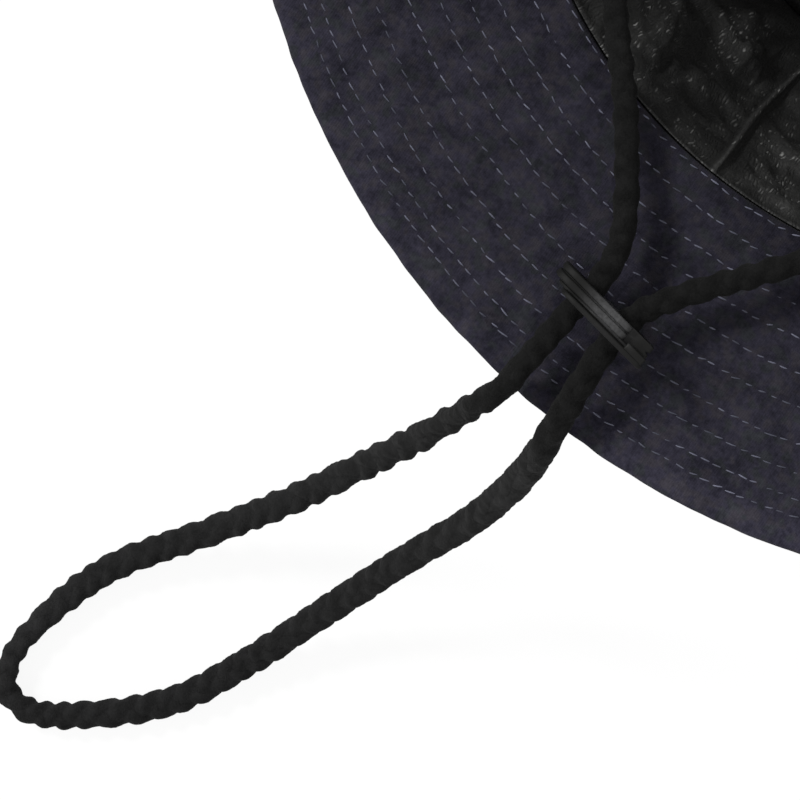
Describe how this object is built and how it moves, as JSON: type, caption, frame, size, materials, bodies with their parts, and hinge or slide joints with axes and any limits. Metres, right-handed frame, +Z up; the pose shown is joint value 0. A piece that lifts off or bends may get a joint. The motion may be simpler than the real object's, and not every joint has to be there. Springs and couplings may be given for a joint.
{
  "type": "bush hat",
  "caption": "Soft cotton hat with a quilted round brim, a mesh lining and a braided chin cord drawn through a slider, lying upside down.",
  "frame": {"origin": "middle of the crown's flat top panel, on the surface that the upside-down hat rests on", "axes": "+Z up out of the open hollow, X from ear to ear, -Y to the end of the brim where the cord's slider lies"},
  "size_m": [0.2903, 0.4377, 0.1041],
  "materials": {
    "cotton": "matt navy cotton, plain weave, with pale blue-grey stitching",
    "lining_mesh": "black knitted mesh with a slight glint",
    "cord_braid": "black braided cord, matt",
    "slider_plastic": "black moulded plastic, half gloss"
  },
  "bodies": {
    "root": {"crown_top": "cotton", "crown_wall": "cotton", "brim": "cotton", "lining_wall": "lining_mesh", "lining_top": "lining_mesh", "chin_cord": "cord_braid", "cord_slider": "slider_plastic"}
  },
  "joints": []
}
